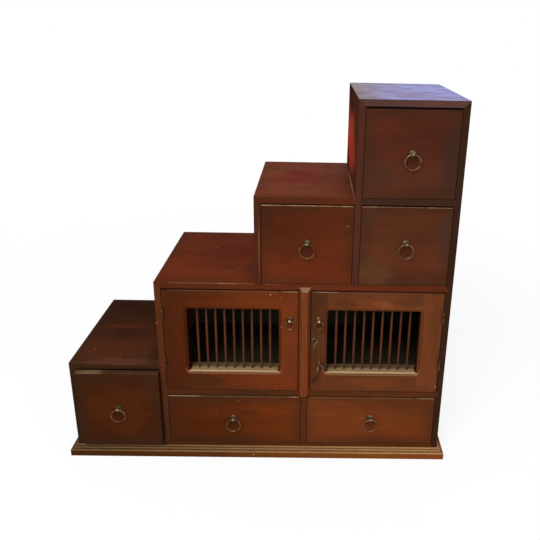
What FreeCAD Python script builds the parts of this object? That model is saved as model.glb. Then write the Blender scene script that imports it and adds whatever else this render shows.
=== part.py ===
import FreeCAD, Part
import math
import os

# A step chest: a stair-shaped case of boards with six drawers and a cupboard
# whose two doors have turned spindles, on a moulded base.
# Lengths are in millimetres. Places are measured from the case's left face (x),
# from its front plane towards the back (y) and from the floor (z). Saving a
# piece moves the origin to the middle of the base's footprint, on the floor.

# Case boards: each step's rise from the one before it, and its run to the next
case_depth = 305.0
board = 15.0
first_rise = 259.0
second_rise = 218.0
third_rise = 210.0
fourth_rise = 217.0
first_run = 217.0
second_run = 232.0
third_run = 222.0
fourth_run = 234.0
floor_board_top = 34.0
lower_drawer_opening = 139.5
left_bay_width = 333.0
housing = 5.0
tread_shoulder = 4.0
eased_edge = 0.8
back_thickness = 5.0
back_overlap = 8.0
bearer_width = 30.0

# Base moulding, planted round the front and the two sides: a fillet and two ledges
base_overhang = 15.0
base_height = 24.0
base_fillet_height = 18.0
base_middle_out = 8.3
base_middle_rise = 2.5
base_top_out = 3.7
base_nosing = 1.2

# Drawers
drawer_side_gap = 1.0
drawer_foot_gap = 0.8
drawer_head_gap = 3.5
drawer_runner_gap = 0.3
drawer_front_thickness = 15.0
drawer_front_cover = 7.0
drawer_front_round = 1.0
drawer_side_thickness = 9.0
drawer_side_drop = 12.0
drawer_bottom_thickness = 4.0
drawer_bottom_rise = 6.0
drawer_groove = 4.0
drawer_back_thickness = 9.0
drawer_back_inset = 6.0
drawer_back_drop = 8.0
first_drawer_proud = 13.0

# Ring pulls
pull_eye_length = 3.2
pull_eye_radius = 3.4
pull_eye_clearance = 0.35
pull_eye_seat = 0.1
pull_shank_radius = 1.5
pull_shank_clearance = 0.2
pull_clench_length = 14.0
pull_clench_height = 3.0
pull_clench_thickness = 1.2
rosette_rim = 0.8
rosette_height = 4.0
drawer_rosette_radius = 8.6
drawer_ring_diameter = 36.8
drawer_ring_wire = 2.8
door_rosette_radius = 8.8
door_ring_diameter = 23.5
door_ring_wire = 2.3

# Doors
door_thickness = 24.0
door_hinge_gap = 1.5
door_foot_gap = 1.5
door_head_gap = 4.0
door_meeting_gap = 2.0
door_bottom_rail = 51.5
door_top_rail = 49.0
left_door_hinge_stile = 55.0
left_door_lock_stile = 46.0
right_door_hinge_stile = 51.0
right_door_lock_stile = 38.5
tenon_length = 20.0
tenon_thickness = 8.0
tenon_shoulder = 8.0
window_corner = 6.0
window_sinking_width = 6.0
window_sinking_depth = 1.2
window_round = 3.5
batten_thickness = 12.0
batten_height = 20.0
batten_overlap = 8.0
spindle_count = 9
spindle_end_radius = 2.2
spindle_middle_radius = 2.9
spindle_tenon_radius = 2.0
spindle_tenon_length = 8.0
spindle_fit = 0.05
spindle_setback = 16.0
door_pull_below_window_head = 24.0
left_pull_from_meeting_edge = 20.7
right_pull_from_meeting_edge = 18.3

# Post between the doors, with a bevelled strip in front
post_width = 26.0
post_depth = 36.0
strip_face_width = 12.0
strip_proud = 12.0
strip_head_lap = 7.6
strip_end_fall = 6.4
strip_foot_lap = 8.5
door_stop_width = 30.0
door_stop_height = 12.0
door_stop_depth = 10.0
door_stop_offset = 25.0
door_stop_gap = 0.3

# Butt hinges
hinge_height = 30.0
knuckle_count = 3
hinge_knuckle_radius = 2.5
hinge_pin_radius = 1.2
hinge_pin_clearance = 0.05
hinge_knuckle_clearance = 0.3
hinge_leaf_thickness = 0.6
hinge_leaf_width = 12.0
hinge_pin_head_radius = 2.2
hinge_pin_head_height = 1.2
upper_hinge_from_door_head = 62.0
lower_hinge_from_door_foot = 81.0

# Lock on the back of the right door, and its keyhole plate
keyhole_below_pull = 55.0
keyhole_from_meeting_edge = 9.5
keyhole_radius = 2.3
keyhole_slot_width = 2.4
keyhole_slot_length = 5.5
keyhole_clearance = 0.8
plate_thickness = 1.0
plate_half_width = 6.5
plate_waist_half_width = 4.6
plate_rise = 15.0
plate_drop = 20.5
plate_shoulder_rise = 8.0
plate_nail_radius = 1.2
plate_nail_height = 1.0
plate_upper_nail_drop = 8.2
plate_lower_nail_drop = 17.0
lock_inset = 2.0
lock_width = 34.0
lock_depth = 9.0
lock_rise = 20.0
lock_drop = 22.0
lock_wall = 1.2
bolt_length = 26.0
bolt_height = 10.0
bolt_thickness = 4.0
bolt_rise = 8.0
bolt_throw = 9.0
bolt_clearance = 0.3
mortise_clearance = 1.2

# Key and the string that it hangs on, from the ring of the right door
string_diameter = 1.6
string_clearance = 0.3
string_span = 25.0
bend_share = 0.45
knot_radius = 2.2
knot_drop = 89.8
knot_side = 2.7
key_bow_radius = 7.0
key_bow_wire = 2.2
key_shank_radius = 1.4
key_shank_length = 47.6
key_bit_length = 7.0
key_bit_width = 6.5
key_bit_thickness = 1.8
key_tip = 2.0
key_from_knot_side = 7.3
key_from_knot_drop = 7.0
key_lean_share = 0.352

# Closeness under which two places count as one
same_place = 0.001


# Places worked out from the sizes above
first_tread_top = first_rise
second_tread_top = first_tread_top + second_rise
third_tread_top = second_tread_top + third_rise
fourth_tread_top = third_tread_top + fourth_rise
second_step_start = first_run
third_step_start = second_step_start + second_run
fourth_step_start = third_step_start + third_run
case_width = fourth_step_start + fourth_run
middle_line = second_step_start + board + left_bay_width
right_inner = case_width - board
shelf_under = floor_board_top + lower_drawer_opening
shelf_top = shelf_under + board
cupboard_head = second_tread_top - board
panel_front = case_depth - back_thickness
divider_left = middle_line - board / 2
post_left = middle_line - post_width / 2
post_right = middle_line + post_width / 2
door_foot = shelf_top + door_foot_gap
door_head = cupboard_head - door_head_gap
sill = door_foot + door_bottom_rail
window_head = door_head - door_top_rail
door_pull_height = window_head - door_pull_below_window_head
keyhole_height = door_pull_height - keyhole_below_pull
upper_hinge_height = door_head - upper_hinge_from_door_head
lower_hinge_height = door_foot + lower_hinge_from_door_foot
hinge_offset = hinge_knuckle_radius + hinge_knuckle_clearance
pull_standoff = rosette_height + pull_eye_seat + pull_eye_radius
origin = FreeCAD.Vector(-case_width / 2, -(case_depth - base_overhang) / 2, 0)

pieces = {}


def save(name, *solids):
    """Keep a piece, or a group of like pieces, under its name."""
    moved = [solid.translated(origin) for solid in solids]
    pieces[name] = moved[0] if len(moved) == 1 else Part.makeCompound(moved)


def block(x0, x1, y0, y1, z0, z1):
    """A straight-sided block between two corners."""
    return Part.makeBox(x1 - x0, y1 - y0, z1 - z0, FreeCAD.Vector(x0, y0, z0))


def rod(start, direction, length, radius):
    """A round rod from a point along a direction."""
    return Part.makeCylinder(radius, length, FreeCAD.Vector(*start), FreeCAD.Vector(*direction))


def prism_along_y(outline, y0, y1):
    """An outline of (x, z) points carried from y0 to y1."""
    points = [FreeCAD.Vector(x, y0, z) for x, z in outline]
    return Part.Face(Part.makePolygon(points + points[:1])).extrude(FreeCAD.Vector(0, y1 - y0, 0))


def near(a, b):
    return abs(a - b) < same_place


def runs_straight(edge):
    """True for an edge along the case's width or height, so not for a mitre."""
    first, last = edge.Vertexes[0].Point, edge.Vertexes[-1].Point
    return near(first.x, last.x) or near(first.z, last.z)


def ease_front(shape, y, radius):
    """Round the straight edges that lie in the front face at y."""
    edges = [
        edge
        for edge in shape.Edges
        if len(edge.Vertexes) == 2
        and all(near(vertex.Y, y) for vertex in edge.Vertexes)
        and runs_straight(edge)
    ]
    return shape.makeFillet(radius, edges)


def cut_away(shape, *tools):
    """What is left of a shape when others are let into it."""
    for tool in tools:
        shape = shape.cut(tool)
    return shape.removeSplitter() if len(shape.Solids) == 1 else shape


def only_solid(shape):
    """The single solid that a cut or a union leaves."""
    return shape.Solids[0]


def side_board(start, foot, top):
    """A board on end, mitred at the top to the tread that it carries."""
    outline = [(start, foot), (start + board, foot), (start + board, top - board), (start, top)]
    return ease_front(prism_along_y(outline, 0, case_depth), 0, eased_edge)


def tread(start, end, top):
    """A tread, mitred at its left end, with a shouldered tongue let into the board at its right."""
    outline = [
        (start, top),
        (start + board, top - board),
        (end + housing, top - board),
        (end + housing, top - tread_shoulder),
        (end, top - tread_shoulder),
        (end, top),
    ]
    return ease_front(prism_along_y(outline, 0, case_depth), 0, eased_edge)


def shelf(x0, x1, under):
    """A level board whose ends are let into the boards beside it."""
    level = block(x0 - housing, x1 + housing, 0, case_depth, under, under + board)
    return ease_front(level, 0, eased_edge)


def back_panels():
    """Four upright sheets, one behind each step, let into the boards' back edges."""
    inset = board - back_overlap
    half = board / 2
    edges = [inset, second_step_start + half, third_step_start + half, fourth_step_start + half]
    edges.append(case_width - inset)
    tops = [first_tread_top, second_tread_top, third_tread_top, fourth_tread_top]
    foot = floor_board_top - board
    return [
        block(edges[i], edges[i + 1], panel_front, case_depth, foot, tops[i] - inset)
        for i in range(len(tops))
    ]


def make_case():
    """The boards of the stair-shaped case, each let into its neighbours."""
    panels = back_panels()
    floor_board = shelf(board, right_inner, floor_board_top - board)
    lower_shelf = shelf(second_step_start + board, right_inner, shelf_under)
    upper_shelf = shelf(fourth_step_start + board, right_inner, third_tread_top - board)
    second_foot = floor_board_top - housing
    upper_foot = second_tread_top - housing
    first_side = side_board(0, 0, first_tread_top)
    second_side = side_board(second_step_start, second_foot, second_tread_top)
    third_side = side_board(third_step_start, upper_foot, third_tread_top)
    fourth_side = side_board(fourth_step_start, upper_foot, fourth_tread_top)
    first_tread = tread(0, second_step_start, first_tread_top)
    second_tread = tread(second_step_start, right_inner, second_tread_top)
    third_tread = tread(third_step_start, fourth_step_start, third_tread_top)
    top = fourth_tread_top
    top_outline = [(fourth_step_start, top), (fourth_step_start + board, top - board)]
    top_outline += [(right_inner, top - board), (case_width, top)]
    fourth_tread = ease_front(prism_along_y(top_outline, 0, case_depth), 0, eased_edge)
    right_outline = [(case_width, 0), (case_width, top), (right_inner, top - board), (right_inner, 0)]
    right_side = ease_front(prism_along_y(right_outline, 0, case_depth), 0, eased_edge)
    divider = block(
        divider_left, divider_left + board, 0, case_depth, floor_board_top - housing, shelf_under + housing
    )
    divider = ease_front(divider, 0, eased_edge)

    save("step_1_side", cut_away(first_side, floor_board, *panels))
    save("step_2_side", cut_away(second_side, first_tread, lower_shelf, *panels))
    save("step_3_side", cut_away(third_side, *panels))
    save("step_4_side", cut_away(fourth_side, third_tread, upper_shelf, *panels))
    save("right_side", cut_away(right_side, floor_board, lower_shelf, second_tread, upper_shelf, *panels))
    save("step_1_tread", cut_away(first_tread, *panels))
    save("step_2_tread", cut_away(second_tread, third_side, fourth_side, *panels))
    save("step_3_tread", cut_away(third_tread, *panels))
    save("step_4_tread", cut_away(fourth_tread, *panels))
    save("floor_board", cut_away(floor_board, second_side, divider, *panels))
    save("lower_shelf", cut_away(lower_shelf, divider, *panels))
    save("upper_shelf", cut_away(upper_shelf, *panels))
    save("lower_divider", cut_away(divider, *panels))
    save("back_panels", *panels)


def make_bearers():
    """Short rails under the floor board, which stand on the floor."""
    under = floor_board_top - board
    places = [second_step_start + board / 2, case_width / 2, fourth_step_start + board / 2]
    half = bearer_width / 2
    save("floor_bearers", *[block(x - half, x + half, 0, panel_front, 0, under) for x in places])


def moulding_face(place):
    """The base moulding's section, each of its three steps with a round nosing.

    place turns a point of the section, outwards and up, into one of the model.
    """
    steps = [
        (base_overhang, base_fillet_height),
        (base_middle_out, base_fillet_height + base_middle_rise),
        (base_top_out, base_height),
    ]
    turn = base_nosing * (1 - math.cos(math.pi / 4))
    edges = []
    last = place(0, 0)
    foot = 0
    for out, top in steps:
        corner, low, high = place(out, foot), place(out, top - base_nosing), place(out - base_nosing, top)
        edges += [Part.makeLine(last, corner), Part.makeLine(corner, low)]
        edges.append(Part.Arc(low, place(out - turn, top - turn), high).toShape())
        last, foot = high, top
    edges += [Part.makeLine(last, place(0, foot)), Part.makeLine(place(0, foot), place(0, 0))]
    return Part.Face(Part.Wire(edges))


def mitre_end(x, y, towards_x, towards_y):
    """A wedge that keeps the moulding's corner on one side of its mitre."""
    reach = base_overhang + board
    corner = [(x, y), (x + towards_x * reach, y), (x + towards_x * reach, y + towards_y * reach)]
    points = [FreeCAD.Vector(px, py, 0) for px, py in corner]
    return Part.Face(Part.makePolygon(points + points[:1])).extrude(FreeCAD.Vector(0, 0, base_height))


def make_base():
    """The moulding round the front and the sides, mitred at the front corners."""
    front = moulding_face(lambda out, z: FreeCAD.Vector(-base_overhang, -out, z))
    front = front.extrude(FreeCAD.Vector(case_width + 2 * base_overhang, 0, 0))
    left = moulding_face(lambda out, z: FreeCAD.Vector(-out, -base_overhang, z))
    left = left.extrude(FreeCAD.Vector(0, case_depth + base_overhang, 0))
    left_wedge = mitre_end(-base_overhang, -base_overhang, 1, 1)
    right_wedge = mitre_end(case_width + base_overhang, -base_overhang, -1, 1)
    left = left.cut(left_wedge)
    middle = FreeCAD.Vector(case_width / 2, 0, 0)
    right = left.mirror(middle, FreeCAD.Vector(1, 0, 0))
    front = front.cut(left).cut(right)
    save("base_front", only_solid(front))
    save("base_left", only_solid(left))
    save("base_right", only_solid(right.cut(right_wedge)))


def rosette(x, y, z, radius):
    """A low dome on a thin rim, with a hole for the shank."""
    rim = FreeCAD.Vector(radius, -rosette_rim, 0)
    top = FreeCAD.Vector(0, -rosette_height, 0)
    half = FreeCAD.Vector(radius * math.sin(math.pi / 4), 0, 0)
    dome = rosette_height - rosette_rim
    half.y = -rosette_rim - dome * math.cos(math.pi / 4)
    edges = [
        Part.makeLine(FreeCAD.Vector(0, 0, 0), FreeCAD.Vector(radius, 0, 0)),
        Part.makeLine(FreeCAD.Vector(radius, 0, 0), rim),
        Part.Arc(rim, half, top).toShape(),
        Part.makeLine(top, FreeCAD.Vector(0, 0, 0)),
    ]
    turned = Part.Face(Part.Wire(edges)).revolve(FreeCAD.Vector(0, 0, 0), FreeCAD.Vector(0, 1, 0), 360)
    hole = rod((0, -rosette_height, 0), (0, 1, 0), rosette_height, pull_shank_radius + pull_shank_clearance)
    return only_solid(turned.cut(hole)).translated(FreeCAD.Vector(x, y, z))


def eye_stud(x, y, z, panel, wire):
    """The eye that carries the ring, its shank through the panel and its clenched legs."""
    eye = rod((x - pull_eye_length / 2, y - pull_standoff, z), (1, 0, 0), pull_eye_length, pull_eye_radius)
    shank_start = (x, y - pull_standoff + wire, z)
    shank = rod(shank_start, (0, 1, 0), pull_standoff - wire + panel, pull_shank_radius)
    half_length, half_height = pull_clench_length / 2, pull_clench_height / 2
    inside = y + panel
    legs = block(
        x - half_length, x + half_length,
        inside, inside + pull_clench_thickness,
        z - half_height, z + half_height
    )
    bore_start = (x - pull_eye_length, y - pull_standoff, z)
    bore = rod(bore_start, (1, 0, 0), 2 * pull_eye_length, wire / 2 + pull_eye_clearance)
    return only_solid(eye.fuse(shank).fuse(legs).cut(bore))


def shank_hole(x, y, z, panel):
    """The hole that a panel has for the shank."""
    return rod((x, y, z), (0, 1, 0), panel, pull_shank_radius + pull_shank_clearance)


def ring(x, y, z, diameter, wire):
    """A ring of round wire that hangs with its top in the eye."""
    radius = (diameter - wire) / 2
    centre = FreeCAD.Vector(x, y - pull_standoff, z - radius)
    return Part.makeTorus(radius, wire / 2, centre, FreeCAD.Vector(0, 1, 0))


def make_pull(name, x, y, z, panel, rosette_radius, ring_diameter, ring_wire):
    """A pull: a rosette and an eye on the panel, and the ring in the eye."""
    save(name + "_pull", rosette(x, y, z, rosette_radius), eye_stud(x, y, z, panel, ring_wire))
    save(name + "_ring", ring(x, y, z, ring_diameter, ring_wire))


# Each drawer's opening as left, right, foot and head, and how far its front
# stands out of the case.
first_head = first_tread_top - board
third_head = third_tread_top - board
fourth_head = fourth_tread_top - board
second_left = second_step_start + board
third_left = third_step_start + board
fourth_left = fourth_step_start + board
divider_right = divider_left + board
drawer_places = {
    "drawer_1": (board, second_step_start, floor_board_top, first_head, first_drawer_proud),
    "drawer_2": (second_left, divider_left, floor_board_top, shelf_under, 0),
    "drawer_3": (divider_right, right_inner, floor_board_top, shelf_under, 0),
    "drawer_4": (third_left, fourth_step_start, second_tread_top, third_head, 0),
    "drawer_5": (fourth_left, right_inner, second_tread_top, third_head, 0),
    "drawer_6": (fourth_left, right_inner, third_tread_top, fourth_head, 0),
}

# How far each drawer's hand-set pull sits to the right of its opening's middle, and above it.
drawer_pull_shifts = {
    "drawer_1": (-1.3, 3.6),
    "drawer_2": (-3, 3.3),
    "drawer_3": (0.6, 7.6),
    "drawer_4": (-0.4, 5),
    "drawer_5": (1.4, 7.8),
    "drawer_6": (2, 1.4),
}


def drawer_pull_place(name):
    """The point on the drawer's front face that its pull is centred on."""
    left, right, foot, head, proud = drawer_places[name]
    shift, rise = drawer_pull_shifts[name]
    return (left + right) / 2 + shift, -proud, (foot + head) / 2 + rise


def make_drawer(name):
    """A drawer: its front, lapped over the sides, and its box of four boards."""
    left, right, foot, head, proud = drawer_places[name]
    x0, x1 = left + drawer_side_gap, right - drawer_side_gap
    front_y, end_y = -proud, panel_front - drawer_runner_gap - proud
    inner_y = front_y + drawer_front_thickness
    side_foot, side_head = foot + drawer_runner_gap, head - drawer_side_drop
    front = block(x0, x1, front_y, inner_y, foot + drawer_foot_gap, head - drawer_head_gap)
    front = ease_front(front, front_y, drawer_front_round)
    lap_y = front_y + drawer_front_cover
    left_side = block(x0, x0 + drawer_side_thickness, lap_y, end_y, side_foot, side_head)
    right_side = block(x1 - drawer_side_thickness, x1, lap_y, end_y, side_foot, side_head)
    groove_left = x0 + drawer_side_thickness - drawer_groove
    groove_right = x1 - drawer_side_thickness + drawer_groove
    sheet_foot = side_foot + drawer_bottom_rise
    sheet_top = sheet_foot + drawer_bottom_thickness
    sheet = block(groove_left, groove_right, inner_y - drawer_groove, end_y, sheet_foot, sheet_top)
    back_y = end_y - drawer_back_inset
    back_head = side_head - drawer_back_drop
    back = block(groove_left, groove_right, back_y - drawer_back_thickness, back_y, sheet_top, back_head)
    place = drawer_pull_place(name)
    hole = shank_hole(*place, drawer_front_thickness)
    save(name + "_front", only_solid(cut_away(front, left_side, right_side, sheet, hole)))
    sides = [only_solid(cut_away(side, sheet, back)) for side in (left_side, right_side)]
    save(name + "_box", *sides, sheet, back)
    sizes = (drawer_front_thickness, drawer_rosette_radius, drawer_ring_diameter, drawer_ring_wire)
    make_pull(name, *place, *sizes)


def window_wire(x0, x1, grow, y):
    """The window's outline at y, grown outwards, with round corners."""
    left, right, foot, head = x0 - grow, x1 + grow, sill - grow, window_head + grow
    radius = window_corner + grow
    diagonal = radius * (1 - math.cos(math.pi / 4))
    corners = [(left, foot, 1, 1), (right, foot, -1, 1), (right, head, -1, -1), (left, head, 1, -1)]
    edges, joins = [], []
    for x, z, inwards_x, inwards_z in corners:
        along_x = FreeCAD.Vector(x + inwards_x * radius, y, z)
        along_z = FreeCAD.Vector(x, y, z + inwards_z * radius)
        middle = FreeCAD.Vector(x + inwards_x * diagonal, y, z + inwards_z * diagonal)
        edges.append(Part.Arc(along_x, middle, along_z).toShape())
        joins.append((along_x, along_z))
    edges.append(Part.makeLine(joins[0][0], joins[1][0]))
    edges.append(Part.makeLine(joins[1][1], joins[2][1]))
    edges.append(Part.makeLine(joins[2][0], joins[3][0]))
    edges.append(Part.makeLine(joins[3][1], joins[0][1]))
    return Part.Wire(Part.__sortEdges__(edges))


def window_cutter(x0, x1):
    """The window's hole, its sunk margin and the rounded edge between them."""
    through = Part.Face(window_wire(x0, x1, 0, 0)).extrude(FreeCAD.Vector(0, door_thickness, 0))
    margin_face = Part.Face(window_wire(x0, x1, window_sinking_width, 0))
    margin = margin_face.extrude(FreeCAD.Vector(0, window_sinking_depth, 0))
    bend = window_round * (1 - math.cos(math.pi / 4))
    sections = [
        window_wire(x0, x1, window_round, window_sinking_depth),
        window_wire(x0, x1, bend, window_sinking_depth + bend),
        window_wire(x0, x1, 0, window_sinking_depth + window_round),
    ]
    return [through, margin, Part.makeLoft(sections, True, True)]


def spindle(x):
    """A turned bar, a little fuller half way up, with a round tenon at each end."""
    foot, head = sill - spindle_tenon_length, window_head + spindle_tenon_length
    low_neck = FreeCAD.Vector(spindle_end_radius, 0, sill)
    middle = FreeCAD.Vector(spindle_middle_radius, 0, (sill + window_head) / 2)
    high_neck = FreeCAD.Vector(spindle_end_radius, 0, window_head)
    around = [
        high_neck,
        FreeCAD.Vector(spindle_tenon_radius, 0, window_head),
        FreeCAD.Vector(spindle_tenon_radius, 0, head),
        FreeCAD.Vector(0, 0, head),
        FreeCAD.Vector(0, 0, foot),
        FreeCAD.Vector(spindle_tenon_radius, 0, foot),
        FreeCAD.Vector(spindle_tenon_radius, 0, sill),
        low_neck,
    ]
    edges = [Part.Arc(low_neck, middle, high_neck).toShape()]
    edges += [Part.makeLine(start, end) for start, end in zip(around, around[1:])]
    turned = Part.Face(Part.Wire(edges)).revolve(FreeCAD.Vector(0, 0, 0), FreeCAD.Vector(0, 0, 1), 360)
    return only_solid(turned).translated(FreeCAD.Vector(x, spindle_setback, 0))


def spindle_places(x0, x1):
    """The spindles' centres, evenly spaced across a window."""
    pitch = (x1 - x0) / (spindle_count + 1)
    return [x0 + pitch * (i + 1) for i in range(spindle_count)]


def rail(x0, x1, foot, head):
    """A door rail between the stiles, with a tenon at each end."""
    body = block(x0, x1, 0, door_thickness, foot, head)
    tenon_y = (door_thickness - tenon_thickness) / 2
    tenon = block(
        x0 - tenon_length, x1 + tenon_length,
        tenon_y, tenon_y + tenon_thickness,
        foot + tenon_shoulder, head - tenon_shoulder
    )
    return body.fuse(tenon).removeSplitter()


left_door_left = second_step_start + board + door_hinge_gap
left_door_right = post_left - door_meeting_gap
right_door_left = post_right + door_meeting_gap
right_door_right = right_inner - door_hinge_gap
left_window = (left_door_left + left_door_hinge_stile, left_door_right - left_door_lock_stile)
right_window = (right_door_left + right_door_lock_stile, right_door_right - right_door_hinge_stile)


def make_door(name, x0, x1, window, pull_x, extra_holes):
    """A door: two stiles, two rails and two battens, and the spindles in its window."""
    window_left, window_right = window
    foot_rail = rail(window_left, window_right, door_foot, sill + window_corner)
    head_rail = rail(window_left, window_right, window_head - window_corner, door_head)
    left_stile = block(x0, window_left, 0, door_thickness, door_foot, door_head)
    right_stile = block(window_right, x1, 0, door_thickness, door_foot, door_head)
    cutters = window_cutter(window_left, window_right)
    centres = spindle_places(window_left, window_right)
    fit_radius = spindle_tenon_radius + spindle_fit
    low_holes = [
        rod((x, spindle_setback, sill - spindle_tenon_length), (0, 0, 1), spindle_tenon_length, fit_radius)
        for x in centres
    ]
    high_holes = [
        rod((x, spindle_setback, window_head), (0, 0, 1), spindle_tenon_length, fit_radius) for x in centres
    ]
    pull_hole = shank_hole(pull_x, 0, door_pull_height, door_thickness)
    stiles = [
        only_solid(cut_away(stile, foot_rail, head_rail, *cutters, pull_hole, *extra_holes))
        for stile in (left_stile, right_stile)
    ]
    rails = [
        only_solid(cut_away(foot_rail, *cutters, *low_holes)),
        only_solid(cut_away(head_rail, *cutters, *high_holes)),
    ]
    batten_left, batten_right = window_left - batten_overlap, window_right + batten_overlap
    batten_back = door_thickness + batten_thickness
    battens = [
        block(batten_left, batten_right, door_thickness, batten_back, foot, foot + batten_height)
        for foot in (sill - batten_height, window_head)
    ]
    save(name + "_frame", *stiles, *rails, *battens)
    save(name + "_spindles", *[spindle(x) for x in centres])
    place = (pull_x, 0, door_pull_height)
    sizes = (door_thickness, door_rosette_radius, door_ring_diameter, door_ring_wire)
    make_pull(name, *place, *sizes)


def make_post():
    """The fixed post between the doors, its bevelled strip, and the stops above it.

    The strip laps over the tread above, where its end slopes down to the front.
    """
    core = block(post_left, post_right, 0, post_depth, shelf_top, cupboard_head)
    outline = [
        (post_left, 0),
        (middle_line - strip_face_width / 2, -strip_proud),
        (middle_line + strip_face_width / 2, -strip_proud),
        (post_right, 0),
    ]
    strip_foot, strip_head = shelf_top - strip_foot_lap, cupboard_head + strip_head_lap
    points = [FreeCAD.Vector(x, y, strip_foot) for x, y in outline]
    length = FreeCAD.Vector(0, 0, strip_head - strip_foot)
    strip = Part.Face(Part.makePolygon(points + points[:1])).extrude(length)
    slope = [
        FreeCAD.Vector(post_left, 0, strip_head),
        FreeCAD.Vector(post_left, -strip_proud, strip_head),
        FreeCAD.Vector(post_left, -strip_proud, strip_head - strip_end_fall),
    ]
    wedge = Part.Face(Part.makePolygon(slope + slope[:1])).extrude(FreeCAD.Vector(post_width, 0, 0))
    strip = strip.cut(wedge)
    bolt_y, bolt_z = bolt_place()
    mortise = block(
        post_right - bolt_throw, post_right,
        bolt_y - mortise_clearance, bolt_y + bolt_thickness + mortise_clearance,
        bolt_z - mortise_clearance, bolt_z + bolt_height + mortise_clearance
    )
    save("door_post", only_solid(core.fuse(strip).removeSplitter().cut(mortise)))
    stop_y = door_thickness + door_stop_gap
    half = door_stop_width / 2
    stop_foot = cupboard_head - door_stop_height
    stops = [
        block(centre - half, centre + half, stop_y, stop_y + door_stop_depth, stop_foot, cupboard_head)
        for centre in (post_left - door_stop_offset, post_right + door_stop_offset)
    ]
    save("door_stops", *stops)


def bolt_place():
    """The bolt's front face and its lower edge."""
    return door_thickness + (lock_depth - bolt_thickness) / 2, keyhole_height + bolt_rise - bolt_height / 2


def knuckle_spans():
    """Each knuckle's low and high end, from the hinge's foot: case, door, case."""
    length = (hinge_height - (knuckle_count - 1) * hinge_knuckle_clearance) / knuckle_count
    pitch = length + hinge_knuckle_clearance
    return [(i * pitch, i * pitch + length) for i in range(knuckle_count)]


def hinge_leaf(axis_x, foot, plate_x0, plate_x1, own_spans, other_spans):
    """A leaf rolled into its knuckles, cut back round the other leaf's knuckles."""
    leaf = block(plate_x0, plate_x1, -hinge_offset, hinge_leaf_width, foot, foot + hinge_height)
    for low, high in other_spans:
        cut_foot = foot + low - hinge_knuckle_clearance
        cut_height = high - low + 2 * hinge_knuckle_clearance
        cut_radius = hinge_knuckle_radius + hinge_knuckle_clearance
        leaf = leaf.cut(rod((axis_x, -hinge_offset, cut_foot), (0, 0, 1), cut_height, cut_radius))
    for low, high in own_spans:
        knuckle = rod((axis_x, -hinge_offset, foot + low), (0, 0, 1), high - low, hinge_knuckle_radius)
        leaf = leaf.fuse(knuckle)
    bore_radius = hinge_pin_radius + hinge_pin_clearance
    return only_solid(leaf.cut(rod((axis_x, -hinge_offset, foot), (0, 0, 1), hinge_height, bore_radius)))


def hinge_pin(axis_x, foot):
    """A pin through the knuckles, with a flat head at each end."""
    head = foot + hinge_height
    pin = rod((axis_x, -hinge_offset, foot), (0, 0, 1), hinge_height, hinge_pin_radius)
    for start in (foot - hinge_pin_head_height, head):
        place = (axis_x, -hinge_offset, start)
        pin = pin.fuse(rod(place, (0, 0, 1), hinge_pin_head_height, hinge_pin_head_radius))
    return only_solid(pin.removeSplitter())


def hinge_axis_x(door_edge, towards_case):
    """The hinge pin's place, in the middle of the gap beside the door."""
    return door_edge + towards_case * door_hinge_gap / 2


def make_hinges():
    """Two butt hinges to each door: leaves on the case, leaves on the doors, and pins."""
    spans = knuckle_spans()
    case_spans, door_spans = spans[::2], spans[1::2]
    feet = [height - hinge_height / 2 for height in (lower_hinge_height, upper_hinge_height)]
    hinge_sides = (("left_door", left_door_left, -1), ("right_door", right_door_right, 1))
    case_pieces = []
    for name, door_edge, towards_case in hinge_sides:
        axis_x = hinge_axis_x(door_edge, towards_case)
        case_face = door_edge + towards_case * door_hinge_gap
        case_plate = sorted((case_face, case_face - towards_case * hinge_leaf_thickness))
        door_plate = sorted((door_edge, door_edge + towards_case * hinge_leaf_thickness))
        for foot in feet:
            case_pieces.append(hinge_leaf(axis_x, foot, *case_plate, case_spans, door_spans))
            case_pieces.append(hinge_pin(axis_x, foot))
        door_leaves = [hinge_leaf(axis_x, foot, *door_plate, door_spans, case_spans) for foot in feet]
        save(name + "_hinge_leaves", *door_leaves)
    save("case_hinge_leaves", *case_pieces)


def keyhole(x, y0, y1, grow):
    """A round hole over a slot, between y0 and y1."""
    slot_half = keyhole_slot_width / 2 + grow
    slot_foot = keyhole_height - keyhole_slot_length - grow
    slot = block(x - slot_half, x + slot_half, y0, y1, slot_foot, keyhole_height)
    return rod((x, y0, keyhole_height), (0, 1, 0), y1 - y0, keyhole_radius + grow).fuse(slot)


keyhole_x = right_door_left + keyhole_from_meeting_edge


def make_keyhole_plate():
    """A thin plate with a pointed top, round flanks and two nails below the keyhole."""
    x, z = keyhole_x, keyhole_height
    tip = FreeCAD.Vector(x, -plate_thickness, z + plate_rise)
    foot = FreeCAD.Vector(x, -plate_thickness, z - plate_drop)
    shoulder_z, waist_z = z + plate_shoulder_rise, z - plate_drop / 2
    edges = []
    for side in (-1, 1):
        shoulder = FreeCAD.Vector(x + side * plate_waist_half_width, -plate_thickness, shoulder_z)
        flank = FreeCAD.Vector(x + side * plate_half_width, -plate_thickness, z)
        waist = FreeCAD.Vector(x + side * plate_waist_half_width, -plate_thickness, waist_z)
        edges.append(Part.makeLine(tip, shoulder))
        edges.append(Part.Arc(shoulder, flank, waist).toShape())
        edges.append(Part.makeLine(waist, foot))
    outline = Part.Wire(Part.__sortEdges__(edges))
    plate = Part.Face(outline).extrude(FreeCAD.Vector(0, plate_thickness, 0))
    plate = cut_away(plate, keyhole(x, -plate_thickness, 0, 0))
    nails = []
    for drop in (plate_upper_nail_drop, plate_lower_nail_drop):
        start = (x, -plate_thickness - plate_nail_height, z - drop)
        nails.append(rod(start, (0, 1, 0), plate_nail_height, plate_nail_radius))
    save("keyhole_plate", only_solid(plate), *nails)


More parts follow.
